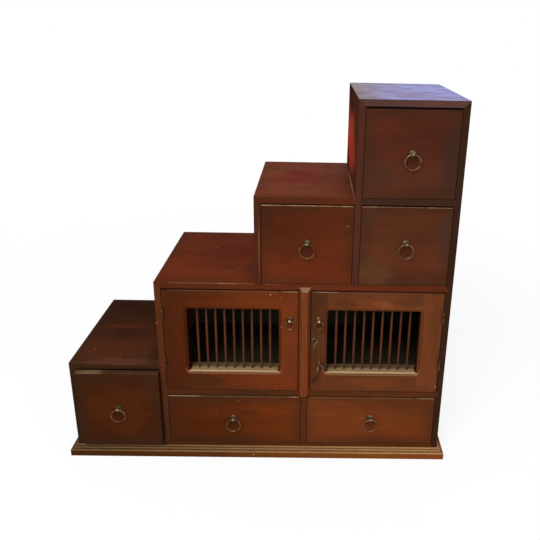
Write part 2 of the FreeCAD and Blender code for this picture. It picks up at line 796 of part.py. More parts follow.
def make_lock():
    """The lock's case on the back of the right door's lock stile, and its bolt."""
    x0 = right_door_left + lock_inset
    y0, y1 = door_thickness, door_thickness + lock_depth
    z0, z1 = keyhole_height - lock_drop, keyhole_height + lock_rise
    x1 = x0 + lock_width
    wall = lock_wall
    case = block(x0, x1, y0, y1, z0, z1)
    hollow = block(x0 + wall, x1 - wall, y0 + wall, y1 - wall, z0 + wall, z1 - wall)
    bolt_y, bolt_z = bolt_place()
    bolt = block(x0, x0 + bolt_length, bolt_y, bolt_y + bolt_thickness, bolt_z, bolt_z + bolt_height)
    slot = block(
        x0, x0 + wall,
        bolt_y - bolt_clearance, bolt_y + bolt_thickness + bolt_clearance,
        bolt_z - bolt_clearance, bolt_z + bolt_height + bolt_clearance
    )
    keyway = keyhole(keyhole_x, y0, y0 + wall, 0)
    save("lock_case", only_solid(cut_away(case, hollow, slot, keyway)))
    save("lock_bolt", bolt)


# The string's runs as shifts (x, y, z) in shares of a span, from where each starts.
threaded_end_shares = [
    (0, 0, 0), (0.1, -0.18, -0.14), (0.292, 0, -0.32), (0.304, 0.2, -0.64), (0.252, 0.08, -1.04)
]
loose_end_shares = [(0, 0, 0), (-0.064, 0.02, -0.3), (-0.128, 0.05, -0.64), (-0.16, 0.03, -1.0)]
tail_shares = [(0, 0, 0), (-0.12, -0.02, 0.34), (-0.36, -0.05, 0.6), (-0.72, -0.06, 0.72)]


def string_route(start, shares):
    """The points of a run of string from its start."""
    return [start + FreeCAD.Vector(*share) * string_span for share in shares]


def tube(points, diameter):
    """A round tube on straight runs joined by the largest arcs that fit, with its radii."""
    edges, radii = [], []
    last = points[0]
    for before, corner, after in zip(points, points[1:], points[2:]):
        arriving, leaving = corner - before, after - corner
        turn = arriving.getAngle(leaving)
        radius = bend_share * min(arriving.Length, leaving.Length) / math.tan(turn / 2)
        reach = radius * math.tan(turn / 2)
        start = corner - arriving.normalize() * reach
        end = corner + leaving.normalize() * reach
        inwards = (start + end) / 2 - corner
        height = radius / math.cos(turn / 2) - radius
        middle = corner + inwards.normalize() * height
        edges += [Part.makeLine(last, start), Part.Arc(start, middle, end).toShape()]
        radii.append(radius)
        last = end
    edges.append(Part.makeLine(last, points[-1]))
    path = Part.Wire(edges)
    section = Part.Wire(Part.makeCircle(diameter / 2, points[0], points[1] - points[0]))
    return only_solid(path.makePipeShell([section], True, False)), path.Length, radii


right_pull_x = right_door_left + right_pull_from_meeting_edge
left_pull_x = left_door_right - left_pull_from_meeting_edge


def string_places():
    """The ring's lowest point and the knot's middle."""
    drop = door_ring_diameter - door_ring_wire
    ring_foot = FreeCAD.Vector(right_pull_x, -pull_standoff, door_pull_height - drop)
    return ring_foot, ring_foot + FreeCAD.Vector(knot_side, 0, -knot_drop)


def make_string():
    """The string: a hitch round the ring, a taut run, a knot, a tail and two ends."""
    ring_foot, knot = string_places()
    hitch_radius = door_ring_wire / 2 + string_clearance + string_diameter / 2
    hitch = Part.makeTorus(hitch_radius, string_diameter / 2, ring_foot, FreeCAD.Vector(1, 0, 0))
    run_start = ring_foot - FreeCAD.Vector(0, 0, hitch_radius)
    threaded = [run_start] + string_route(knot, threaded_end_shares)
    solids = [hitch, Part.makeSphere(knot_radius, knot)]
    for label, points in (
        ("key string", threaded),
        ("loose end", string_route(knot, loose_end_shares)),
        ("tail", string_route(knot, tail_shares)),
    ):
        solid, length, radii = tube(points, string_diameter)
        filled_share = solid.Volume / (math.pi * string_diameter**2 / 4 * length)
        print(label, "length", round(length, 1), "volume over section times length", round(filled_share, 4))
        print(label, "radii", [round(radius, 1) for radius in radii])
        solids.append(solid)
    whole = solids[0]
    for solid in solids[1:]:
        whole = whole.fuse(solid)
    save("key_string", only_solid(whole))


def make_key():
    """A small key: a ring bow, a round shank that leans, and a bit near its tip."""
    ring_foot, knot = string_places()
    bow = knot + FreeCAD.Vector(key_from_knot_side, 0, -key_from_knot_drop)
    along = FreeCAD.Vector(-key_lean_share, 0, -1).normalize()
    across = FreeCAD.Vector(along.z, 0, -along.x)
    bow_middle_radius = key_bow_radius - key_bow_wire / 2
    bow_ring = Part.makeTorus(bow_middle_radius, key_bow_wire / 2, bow, FreeCAD.Vector(0, 1, 0))
    shank_start = bow + along * bow_middle_radius
    shank = Part.makeCylinder(key_shank_radius, key_shank_length, shank_start, along)
    bit_start = shank_start + along * (key_shank_length - key_tip - key_bit_length)
    half = FreeCAD.Vector(0, key_bit_thickness / 2, 0)
    corners = [bit_start, bit_start + across * key_bit_width]
    corners += [corners[1] + along * key_bit_length, bit_start + along * key_bit_length]
    corners = [corner - half for corner in corners]
    bit = Part.Face(Part.makePolygon(corners + corners[:1])).extrude(half * 2)
    save("key", only_solid(bow_ring.fuse(shank).fuse(bit)))


def make_doors():
    """Both doors, the post between them, their hinges and the lock."""
    make_door("left_door", left_door_left, left_door_right, left_window, left_pull_x, [])
    lock_hole = keyhole(keyhole_x, 0, door_thickness, keyhole_clearance)
    make_door("right_door", right_door_left, right_door_right, right_window, right_pull_x, [lock_hole])
    make_post()
    make_hinges()
    make_keyhole_plate()
    make_lock()


def main():
    make_case()
    make_bearers()
    make_base()
    for name in drawer_places:
        make_drawer(name)
    make_doors()
    make_string()
    make_key()
    os.makedirs("parts", exist_ok=True)
    for name, shape in pieces.items():
        shape.exportStep("parts/" + name + ".step")
    print(len(pieces), "pieces saved")


main()
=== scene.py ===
import math

import bpy
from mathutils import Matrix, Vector


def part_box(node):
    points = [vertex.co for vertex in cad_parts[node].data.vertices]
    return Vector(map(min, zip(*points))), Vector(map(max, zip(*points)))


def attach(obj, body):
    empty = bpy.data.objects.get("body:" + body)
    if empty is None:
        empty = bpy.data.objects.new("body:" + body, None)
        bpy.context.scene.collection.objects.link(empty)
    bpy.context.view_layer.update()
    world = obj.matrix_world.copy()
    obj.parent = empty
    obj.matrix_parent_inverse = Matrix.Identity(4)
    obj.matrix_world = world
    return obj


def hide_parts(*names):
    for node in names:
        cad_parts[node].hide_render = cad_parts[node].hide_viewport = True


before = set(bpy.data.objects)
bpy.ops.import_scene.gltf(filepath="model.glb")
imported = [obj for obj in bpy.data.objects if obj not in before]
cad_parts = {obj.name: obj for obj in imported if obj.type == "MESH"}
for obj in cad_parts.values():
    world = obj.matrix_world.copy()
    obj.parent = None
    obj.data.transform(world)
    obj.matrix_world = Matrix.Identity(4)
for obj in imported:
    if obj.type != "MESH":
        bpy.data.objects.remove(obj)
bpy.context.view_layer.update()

# Lengths are in metres, in the model's frame: x to the right, y to the back and
# z up from the floor. Colours are written as 8-bit sRGB.

# Camera
camera_place = (0.1216, -1.2535, 1.0578)
camera_tilt_deg = (73.288, -1.160, -0.413)
camera_lens_mm = 35.71
sensor_width_mm = 36.0
camera_shift = (-0.0886, -0.1645)
camera_clip_start = 0.05

# Light and surroundings
sky_strength = 0.55
lamp_white = (255, 255, 255)
lamp_target = (0, 0, 0.4)
key_place = (-1.0, -2.1, 3.1)
key_size = 1.6
key_power = 92.0
fill_place = (2.0, -2.4, 1.4)
fill_size = 1.8
fill_power = 26.0
window_place = (1.0, 2.6, 1.25)
window_size = 1.0
window_power = 5.0
window_tint = (70, 130, 255)
window_target = (0.3, 0, 0.9)
floor_colour = (250, 250, 250)
floor_size = 14.0
floor_shadow_share = 0.14
shadow_reach = (0.8, 1.9)

# Places on the chest, from the frame
front_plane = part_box("step_1_side")[0][1]
drawer_1_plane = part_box("drawer_1_front")[0][1]
tread_1_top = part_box("step_1_tread")[1][2]
tread_2_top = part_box("step_2_tread")[1][2]
tread_3_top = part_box("step_3_tread")[1][2]
side_4_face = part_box("step_4_side")[0][0]
case_half_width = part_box("right_side")[1][0]
board = case_half_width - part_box("right_side")[0][0]
strip_middle = (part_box("door_post")[0][0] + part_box("door_post")[1][0]) / 2
strip_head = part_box("door_post")[1][2]

# The doors' windows, the strip on their post, and the painted highlight on the eyes of the pulls
window_foot = 0.2415
window_head = 0.409
left_window = (-0.164, 0.0515)
right_window = (0.166, 0.385)
window_corner = 0.006
window_margin = 0.006
strip_half_face = 0.006
strip_end_slope = 6.4 / 12
eye_reach = 0.0068
eye_soft_share = 0.9

# The string: where it leaves the door's ring, its knot, and its runs as shares of a span
string_diameter = 0.0016
string_exit = (0.1458, -0.1525, 0.36155)
string_knot = (0.1485, -0.1525, 0.2740)
string_span = 0.025
knot_radius = 0.0022
hitch_radius = 0.00225
near_bend = 0.010
threaded_end_shares = [
    (0.1, -0.18, -0.14), (0.292, 0, -0.32), (0.304, 0.2, -0.64), (0.252, 0.08, -1.04)]
loose_end_shares = [(0, 0, 0), (-0.064, 0.02, -0.3), (-0.128, 0.05, -0.64), (-0.16, 0.03, -1.0)]
tail_shares = [(0, 0, 0), (-0.12, -0.02, 0.34), (-0.36, -0.05, 0.6), (-0.72, -0.06, 0.72)]
twist_per_metre = (4000.0, 5200.0)
string_dirt_per_metre = 150.0
string_dirt_span = (0.4, 0.6)
clean_knot_reach = (0.006, 0.001)
dark_tail_reach = (-0.009, -0.014)
clean_knot_share = 0.8
dark_tail_share = 0.8
fibre_depth = 0.0003
fibre_bump_share = 0.6
string_rough = 0.85
string_gloss = 0.1

# How finely the string, its hitch and its knot are drawn
bevel_steps = 4
curve_order = 3
curve_steps = 12
hitch_segments = (32, 12)
knot_segments = (24, 16)

# Wood: how often its bands, streaks and pores repeat per metre, along and across the grain
bands = (3.0, 20.0)
streaks = (7.0, 150.0)
pores = (28.0, 700.0)
clouds_per_metre = 6.5
bends_per_metre = 7.0
ragged_per_metre = 90.0
grain_bend = (0.03, 0.03, 0.03)
pore_depth = 0.0002
figure_contrast = 0.13
warm_shares = (1.25, 0.98, 0.85)
warm_cloud_span = (0.5, 0.72)
warm_cloud_share = 0.6
dull_cloud_span = (0.46, 0.3)
dull_cloud_share = 0.55
dull_tone_share = 0.62
pore_span = (0.4, 0.28)
pore_share = 0.5
pore_tone_share = 0.5
pore_bump_share = 0.25
rough_clouds_per_metre = 25.0
smoothest_share = 0.75
wood_gloss = 0.012
tread_gloss = 0.005
stained_rough = 0.5
bare_rough = 0.8

# Metal
rubs_per_metre = 110.0
scratches_per_metre = 600.0
scratch_depth = 0.0002
rubbed_span = (0.35, 0.7)
metal_rough_shares = (0.62, 0.4)
metal_bump_share = 0.2

# Spots: how ragged their outline is, how far it wanders, and where it starts and ends, as
# shares of their reach
spot_ragged_share = 1.3
spot_wander_share = 1.5
spot_edge_shares = (1.15, 0.45)

# Noise: where most of its values lie, their middle, and how finely it is broken up
noise_span = (0.3, 0.7)
noise_middle = 0.5
coarse_detail = 2.0
usual_detail = 3.0
fine_detail = 4.0

# Grime, and the mark of a ring
grime_width = 0.045
grime_fade = (1.4 * grime_width, 0.3 * grime_width)
ring_mark_share = 0.5
ring_mark_reach_share = 0.9

# Soft edges: each reach or fade holds the distances at which it starts and ends
front_edge_reach = (0.0002, 0.0012)
inside_reach = (0.002, 0.012)
dark_side_reach = (0.002, 0.02)
dark_side_line = 0.0009
worn_head_fade = (0.0021, 0.0012)
worn_head_ragged = 0.0008
worn_head_soft = 0.001
worn_span_soft = 0.008
tread_edge_reach = 0.0012
door_head_reach = 0.0016
rail_joint_width = 0.0012
reveal_side_fade = (0.002, 0.0005)
reveal_depth_fade = (0.003, 0.008)
margin_outer_reach = (0.0006, 0.0)
margin_inner_fade = (-0.001, 0.001)
bead_width = 0.0013
bead_height_reach = (0.014, 0.001)
sill_top_reach = (0.0015, -0.0002)
sill_foot_reach = (-0.0036, -0.0022)
sill_past_window = 0.002
sill_ragged_per_metre = 150.0
sill_ragged_depth = 0.012
sill_dust_fade = (0.0215, 0.0175)
sill_arris_depth = 0.0042
sill_arris_width = 0.0018
ledge_foot_fade = (0.0168, 0.0178)
ledge_ragged_per_metre = (60.0, 60.0, 900.0)
ledge_arrises = [(0.015, 0.018), (0.0083, 0.0205), (0.0037, 0.024)]
ledge_arris_fade = (0.0036, 0.0012)
ledge_light_shares = (0.5, 1.2)
strip_end_line = 0.0009
strip_clear_of_front = -0.0002
strip_arris_width = 0.0013
spindle_end_fade = (0.035, 0.08)
spindle_back_reach = (0.0142, 0.0165)
drawer_side_reach = (0.008, 0.006)
back_sheet_reach = (0.003, 0.001)

# Uneven wear and uneven painted highlights: where the noise starts and ends them, and their strength
# at each
head_wear = (0.3, 0.6, 0.45, 1.0)
sill_wear = (0.3, 0.55, 0.65, 1.0)
ledge_wear_and_highlight = (0.3, 0.65, 0.55, 1.0)
strip_arris_unevenness = (0.4, 0.6, 0.1, 1.0)

# How strongly each worn place, dark place, painted highlight or painted shade covers the wood's own
# colour
rail_joint_share = 0.25
groove_share = 0.5
groove_tone_share = 0.45
bead_highlight_share = 0.7
sill_arris_share = 0.8
sill_dust_shares = (0.3, 1.0)
ledge_share = 0.8
ledge_arris_share = 0.7
strip_end_share = 0.9
strip_arris_highlight_share = 0.3
spindle_end_share = 0.65
spindle_back_share = 0.8

# Colours that more than one piece shares, those of the worn and dark places, and those of painted
# highlights and painted shade
grime_tone = (46, 31, 20)
olive_tone = (72, 50, 27)
bare_wood = (142, 118, 88)
# Painted shade, laid where the case's hollows are dark:
painted_shade_tone = (16, 12, 9)
cupboard_wall = (62, 55, 44)
cupboard_floor = (52, 45, 34)
ring_mark_tone = (40, 22, 15)
# The bead's tone is a painted highlight.
bead_highlight_tone = (146, 104, 72)
sill_wood = (84, 58, 36)
sill_dust = (142, 118, 84)
sill_arris_wood = (192, 160, 120)
# The ledges' tones are partly dust and wear and partly painted light.
ledge_wood = (104, 68, 33)
ledge_arris_wood = (166, 132, 94)
strip_end_wood = (128, 98, 74)
# The strip arris tone is a painted highlight.
strip_arris_highlight_tone = (150, 92, 56)
spindle_end_tone = (64, 47, 36)
drawer_side_stain = (44, 24, 14)
drawer_box_tone = (138, 98, 66)
iron = ((120, 116, 108), (160, 154, 144))
painted_iron = ((70, 40, 24), (110, 70, 44))
# The string's twist is painted in a shaded and a lit tone.
string_shaded_tone = (50, 38, 20)
string_lit_tone = (92, 74, 44)
string_clean = (170, 156, 122)
string_tail_tone = (38, 26, 14)


def linear(colour):
    """An 8-bit sRGB colour as linear values with full alpha."""
    shares = [value / 255 for value in colour]
    return [
        share / 12.92 if share <= 0.04045 else ((share + 0.055) / 1.055) ** 2.4 for share in shares
    ] + [1.0]


def scaled(colour, share):
    """A linear colour made lighter or darker."""
    return [min(1.0, value * share) for value in colour[:3]] + [1.0]


class Paint:
    """One material, whose nodes are added one after another."""

    def __init__(self, name):
        self.material = bpy.data.materials.new(name)
        self.material.use_nodes = True
        self.tree = self.material.node_tree
        self.shader = self.tree.nodes["Principled BSDF"]
        coordinates = self.tree.nodes.new("ShaderNodeTexCoord")
        self.point = coordinates.outputs["Object"]
        self.x, self.y, self.z = self.parts(self.point)

    def feed(self, socket, value):
        """Link a socket to another's output, or give it a constant."""
        if isinstance(value, bpy.types.NodeSocket):
            self.tree.links.new(value, socket)
        else:
            socket.default_value = value

    def math(self, operation, *values):
        """A number worked out from others."""
        node = self.tree.nodes.new("ShaderNodeMath")
        node.operation = operation
        for socket, value in zip(node.inputs, values):
            self.feed(socket, value)
        return node.outputs[0]

    def product(self, first, *others):
        """The product of two or more numbers."""
        for other in others:
            first = self.math("MULTIPLY", first, other)
        return first

    def away(self, value, place):
        """The distance of a value from a place, on either side."""
        return self.math("ABSOLUTE", self.math("SUBTRACT", value, place))

    def vector(self, operation, *values):
        """A vector worked out from others, or its length."""
        node = self.tree.nodes.new("ShaderNodeVectorMath")
        node.operation = operation
        for socket, value in zip(node.inputs, values):
            self.feed(socket, value)
        return node.outputs["Value" if operation == "LENGTH" else "Vector"]

    def parts(self, vector):
        """The three parts of a vector."""
        node = self.tree.nodes.new("ShaderNodeSeparateXYZ")
        self.feed(node.inputs[0], vector)
        return node.outputs

    def noise(self, vector, scale, detail=usual_detail):
        """Soft noise, about a half on average."""
        node = self.tree.nodes.new("ShaderNodeTexNoise")
        self.feed(node.inputs["Vector"], vector)
        node.inputs["Scale"].default_value = scale
        node.inputs["Detail"].default_value = detail
        return node.outputs["Fac"]

    def grained(self, vector, grain, repeats, detail=usual_detail):
        """Noise drawn out along the grain."""
        along, across = repeats
        stretch = [along if axis == grain else across for axis in "xyz"]
        return self.noise(self.vector("MULTIPLY", vector, stretch), 1.0, detail)

    def fade(self, value, start, end, low=0.0, high=1.0):
        """A soft step from low at start to high at end."""
        node = self.tree.nodes.new("ShaderNodeMapRange")
        node.interpolation_type = "SMOOTHSTEP"
        for socket, entry in zip(node.inputs, (value, start, end, low, high)):
            self.feed(socket, entry)
        return node.outputs[0]

    def past(self, value, place, reach, low=0.0, high=1.0):
        """A soft step between two distances past a place."""
        return self.fade(value, place + reach[0], place + reach[1], low, high)

    def mix(self, share, below, above):
        """One colour laid over another by a share.

        A mix node's colours are its inputs 6 and 7, and its output 2.
        """
        node = self.tree.nodes.new("ShaderNodeMix")
        node.data_type = "RGBA"
        self.feed(node.inputs["Factor"], share)
        self.feed(node.inputs[6], below)
        self.feed(node.inputs[7], above)
        return node.outputs[2]

    def times(self, colour, share):
        """A colour made lighter or darker by a value."""
        if not isinstance(colour, bpy.types.NodeSocket):
            colour = colour[:3]
        return self.vector("MULTIPLY", colour, share)

    def bump(self, height, strength, distance):
        """Make the surface look uneven by a height."""
        node = self.tree.nodes.new("ShaderNodeBump")
        self.feed(node.inputs["Height"], height)
        node.inputs["Strength"].default_value = strength
        node.inputs["Distance"].default_value = distance
        self.feed(self.shader.inputs["Normal"], node.outputs[0])

    def edge_distance(self, low, high):
        """How far a point on a box's face is from the nearest edge of that face."""
        from_low = self.vector("SUBTRACT", self.point, low)
        from_high = self.vector("SUBTRACT", high, self.point)
        x, y, z = self.parts(self.vector("MINIMUM", from_low, from_high))
        smaller, larger = self.math("MINIMUM", x, y), self.math("MAXIMUM", x, y)
        return self.math("MAXIMUM", smaller, self.math("MINIMUM", larger, z))

    def spot(self, centre, radii):
        """A spot round a place, with a soft and ragged outline."""
        reach = self.vector("DIVIDE", self.vector("SUBTRACT", self.point, centre), radii)
        wobble = self.math("SUBTRACT", self.noise(reach, spot_ragged_share), noise_middle)
        wander = self.math("MULTIPLY", wobble, spot_wander_share)
        distance = self.math("ADD", self.vector("LENGTH", reach), wander)
        return self.fade(distance, *spot_edge_shares)

    def line(self, distance, width):
        """A thin line where a distance is close to zero."""
        return self.fade(distance, width, width / 3)


def figured(paint, tone, grain):
    """The bands, streaks and soft clouds of stained wood, and its pores."""
    lighter, darker = 1 + figure_contrast, 1 - figure_contrast
    bending = paint.noise(paint.point, bends_per_metre, coarse_detail)
    bend = paint.vector("MULTIPLY", bending, grain_bend)
    bent = paint.vector("ADD", paint.point, bend)
    banded = paint.fade(paint.grained(bent, grain, bands), *noise_span)
    colour = paint.mix(banded, scaled(tone, darker), scaled(tone, lighter))
    streaked = paint.fade(
        paint.grained(bent, grain, streaks, fine_detail), *noise_span,
        1 - figure_contrast / 2, 1 + figure_contrast / 2)
    colour = paint.times(colour, streaked)
    cloud = paint.grained(paint.point, grain, (clouds_per_metre / 2, clouds_per_metre))
    warm = [value * share for value, share in zip(tone, warm_shares)] + [1.0]
    colour = paint.mix(paint.fade(cloud, *warm_cloud_span, 0.0, warm_cloud_share), colour, warm)
    dull = [(value + olive) / 2 * dull_tone_share for value, olive in zip(tone, linear(olive_tone))]
    dulled = paint.fade(cloud, *dull_cloud_span, 0.0, dull_cloud_share)
    colour = paint.mix(dulled, colour, dull[:3] + [1.0])
    height = paint.grained(paint.point, grain, pores, coarse_detail)
    in_pores = paint.fade(height, *pore_span, 0.0, pore_share)
    return paint.mix(in_pores, colour, scaled(tone, pore_tone_share)), height


def shaded(paint, colour, box, across, up, face):
    """Painted light and shade: a board is lighter or darker towards one end or one edge, and a tread
    darker on its front edge, as light falls on it.

    across gives the strength at the left and the right, up at the foot and the head or
    at the front and the back of a tread, and face on the front edge of a tread.
    """
    low, high = box
    place, axis = (paint.y, 1) if high[2] - low[2] < 2 * board else (paint.z, 2)
    level = paint.product(
        paint.fade(place, low[axis], high[axis], *up),
        paint.fade(paint.x, low[0], high[0], *across),
        paint.past(paint.y, low[1], front_edge_reach, face, 1.0))
    return paint.times(colour, level)


def grimy(paint, colour, box, share):
    """Grime gathered towards a board's edges."""
    wander = paint.product(paint.noise(paint.point, 2 * clouds_per_metre), grime_width)
    edge = paint.math("ADD", paint.edge_distance(*box), wander)
    mask = paint.fade(edge, *grime_fade)
    return paint.mix(paint.product(mask, share), colour, linear(grime_tone))


def spotted(paint, colour, spots):
    """Stains, chips and patches, each at its place."""
    for centre, radii, spot_colour, share in spots:
        mask = paint.product(paint.spot(centre, radii), share)
        colour = paint.mix(mask, colour, linear(spot_colour))
    return colour


def finish_wood(paint, colour, height, gloss, roughest):
    """The lacquer over the wood, or the bare wood where it is rough."""
    paint.feed(paint.shader.inputs["Base Color"], colour)
    clouds = paint.noise(paint.point, rough_clouds_per_metre)
    rough = paint.fade(clouds, *noise_span, smoothest_share * roughest, roughest)
    paint.feed(paint.shader.inputs["Roughness"], rough)
    paint.shader.inputs["Specular IOR Level"].default_value = gloss
    paint.bump(height, pore_bump_share, pore_depth)


def dress(node, material):
    """Give a node of the model its material."""
    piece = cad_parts[node]
    if not piece.material_slots:
        piece.data.materials.append(material)
    for place in piece.material_slots:
        place.material = material


def wooden(node, tone, grain, across=(1.0, 1.0), up=(1.0, 1.0), face=1.0, grime=0.5,
           gloss=wood_gloss, roughest=stained_rough, rails=None, layers=(), spots=()):
    """Dress a node in stained and lacquered wood."""
    paint = Paint(node + "_wood")
    tone = linear(tone)
    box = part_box(node)
    colour, height = figured(paint, tone, grain)
    if rails:
        colour = railed(paint, colour, tone, rails)
    colour = shaded(paint, colour, box, across, up, face)
    colour = grimy(paint, colour, box, grime)
    colour = spotted(paint, colour, spots)
    for layer in layers:
        colour = layer(paint, colour, tone)
    finish_wood(paint, colour, height, gloss, roughest)
    dress(node, paint.material)


def inside(inner_colour):
    """The inside of the case has another colour behind the front edges; with the painted shade tone,
    it is painted shade.
    """

    def layer(paint, colour, tone):
        behind = paint.past(paint.y, front_plane, inside_reach)
        return paint.mix(behind, colour, linear(inner_colour))

    return layer


def dark_side(face_x):
    """The face of an upright board that looks into the case is painted dark behind its front edge, as
    shade.
    """

    def layer(paint, colour, tone):
        on_face = paint.line(paint.away(paint.x, face_x), dark_side_line)
        behind = paint.past(paint.y, front_plane, dark_side_reach)
        return paint.mix(paint.product(on_face, behind), colour, linear(painted_shade_tone))

    return layer


def worn_head(node, spans, reach, head_colour=bare_wood):
    """The front of a piece's top is worn in some spans of its width; given the painted shade tone, it
    is painted dark there instead, as the shade of the gap above it.
    """
    low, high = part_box(node)

    def layer(paint, colour, tone):
        ragged = paint.noise(paint.point, 3 * ragged_per_metre, fine_detail)
        drop = paint.math("ADD", paint.away(paint.z, high[2]), paint.product(ragged, worn_head_ragged))
        near_top = paint.fade(drop, *worn_head_fade)
        behind = paint.math("SUBTRACT", paint.y, low[1])
        near_front = paint.fade(behind, reach + worn_head_soft, reach)
        worn = 0.0
        for start, end, share in spans:
            within = paint.product(
                paint.fade(paint.x, start - worn_span_soft, start + worn_span_soft),
                paint.fade(paint.x, end + worn_span_soft, end - worn_span_soft))
            worn = paint.math("MAXIMUM", worn, paint.product(within, share))
        uneven = paint.fade(paint.noise(paint.point, ragged_per_metre / 2), *head_wear)
        mask = paint.product(near_top, near_front, worn, uneven)
        return paint.mix(mask, colour, linear(head_colour))

    return layer


def railed(paint, colour, tone, window):
    """The rails of a door run across, between its upright stiles."""
    across, height = figured(paint, tone, "x")
    from_middle = paint.away(paint.x, sum(window) / 2)
    half = (window[1] - window[0]) / 2
    colour = paint.mix(paint.math("LESS_THAN", from_middle, half), colour, across)
    joint = paint.line(paint.away(from_middle, half), rail_joint_width)
    return paint.mix(paint.product(joint, rail_joint_share), colour, scaled(tone, groove_tone_share))


def outside_window(paint, across, up, half_width):
    """How far a place is outside a window's rounded outline, and less than zero inside it."""
    half_height = (window_head - window_foot) / 2
    out_across = paint.math("SUBTRACT", across, half_width - window_corner)
    out_up = paint.math("SUBTRACT", up, half_height - window_corner)
    squares = [
        paint.math("POWER", paint.math("MAXIMUM", out, 0.0), 2.0) for out in (out_across, out_up)
    ]
    corner = paint.math("SQRT", paint.math("ADD", *squares))
    flat = paint.math("MINIMUM", paint.math("MAXIMUM", out_across, out_up), 0.0)
    return paint.math("SUBTRACT", paint.math("ADD", corner, flat), window_corner)


def dusty_sill(paint, colour, across, half_width, depth):
    """The window's sill is dusty towards the front, and rubbed on its arris."""
    below = paint.past(paint.z, window_foot, sill_top_reach)
    near = paint.past(paint.z, window_foot, sill_foot_reach)
    between = paint.math("LESS_THAN", across, half_width + sill_past_window)
    sill = paint.product(below, near, between)
    ragged = paint.noise(paint.point, sill_ragged_per_metre, fine_detail)
    wander = paint.product(paint.math("SUBTRACT", ragged, noise_middle), sill_ragged_depth)
    dusty = paint.fade(paint.math("ADD", depth, wander), *sill_dust_fade, *sill_dust_shares)
    uneven = paint.fade(ragged, *sill_wear)
    colour = paint.mix(sill, colour, linear(sill_wood))
    colour = paint.mix(paint.product(sill, dusty, uneven), colour, linear(sill_dust))
    arris = paint.line(paint.away(depth, sill_arris_depth), sill_arris_width)
    rubbed = paint.product(arris, sill, uneven, sill_arris_share)
    return paint.mix(rubbed, colour, linear(sill_arris_wood))


def window_edge(window):
    """The window's groove, a painted highlight on its bead near the sill, its reveals painted dark as
    shade, and the dusty sill.
    """

    def layer(paint, colour, tone):
        half_width = (window[1] - window[0]) / 2
        across = paint.away(paint.x, sum(window) / 2)
        up = paint.away(paint.z, (window_foot + window_head) / 2)
        outside = outside_window(paint, across, up, half_width)
        depth = paint.math("SUBTRACT", paint.y, front_plane)
        reveal = paint.product(
            paint.fade(outside, *reveal_side_fade), paint.fade(depth, *reveal_depth_fade))
        colour = paint.mix(reveal, colour, linear(painted_shade_tone))
        margin = paint.product(
            paint.past(outside, window_margin, margin_outer_reach),
            paint.fade(outside, *margin_inner_fade))
        colour = paint.mix(
            paint.product(margin, groove_share), colour, scaled(tone, groove_tone_share))
        low = paint.past(paint.z, window_foot, bead_height_reach)
        bead = paint.line(paint.away(outside, window_margin), bead_width)
        colour = paint.mix(paint.product(bead, low, bead_highlight_share), colour, linear(bead_highlight_tone))
        return dusty_sill(paint, colour, across, half_width, depth)

    return layer


def pale_ledges(paint, colour, tone):
    """The base's ledges are pale, partly with dust and wear and partly as painted light on their
    upward faces, and paler on their arrises, partly worn and partly a painted highlight; all of it is
    painted lighter towards the right, as light falls.
    """
    beside = paint.math("SUBTRACT", paint.math("ABSOLUTE", paint.x), case_half_width)
    out = paint.math("MAXIMUM", beside, paint.math("SUBTRACT", front_plane, paint.y))
    above = paint.fade(paint.z, *ledge_foot_fade)
    stretched = paint.vector("MULTIPLY", paint.point, ledge_ragged_per_metre)
    ragged = paint.noise(stretched, 1.0, fine_detail)
    uneven = paint.fade(ragged, *ledge_wear_and_highlight)
    side_light = paint.fade(paint.x, -case_half_width, case_half_width, *ledge_light_shares)
    ledge = paint.times(linear(ledge_wood), side_light)
    arris = paint.times(linear(ledge_arris_wood), side_light)
    colour = paint.mix(paint.product(above, ledge_share), colour, ledge)
    for arris_out, arris_top in ledge_arrises:
        aside = paint.math("ADD", paint.away(out, arris_out), paint.away(paint.z, arris_top))
        mask = paint.product(paint.fade(aside, *ledge_arris_fade), uneven, ledge_arris_share)
        colour = paint.mix(mask, colour, arris)
    return colour


def pale_strip_end(paint, colour, tone):
    """The strip's sloping end is bare, and its front arrises carry an uneven painted highlight."""
    fall = paint.product(paint.math("SUBTRACT", paint.y, front_plane), strip_end_slope)
    above = paint.math("SUBTRACT", paint.math("SUBTRACT", paint.z, strip_head), fall)
    end = paint.line(paint.math("ABSOLUTE", above), strip_end_line)
    in_front = paint.math("LESS_THAN", paint.y, front_plane + strip_clear_of_front)
    bare = paint.product(end, in_front, strip_end_share)
    colour = paint.mix(bare, colour, linear(strip_end_wood))
    from_arris = paint.away(paint.away(paint.x, strip_middle), strip_half_face)
    arris = paint.line(from_arris, strip_arris_width)
    uneven = paint.fade(paint.noise(paint.point, ragged_per_metre, fine_detail), *strip_arris_unevenness)
    rubbed = paint.product(arris, in_front, uneven, strip_arris_highlight_share)
    return paint.mix(rubbed, colour, linear(strip_arris_highlight_tone))


def spindle_tone(paint, colour, tone):
    """The spindles are greyer near their ends, and painted darker round the back as shade."""
    up = paint.away(paint.z, (window_foot + window_head) / 2)
    ends = paint.fade(up, *spindle_end_fade)
    colour = paint.mix(paint.product(ends, spindle_end_share), colour, linear(spindle_end_tone))
    back = paint.past(paint.y, front_plane, spindle_back_reach)
    return paint.mix(paint.product(back, spindle_back_share), colour, linear(painted_shade_tone))


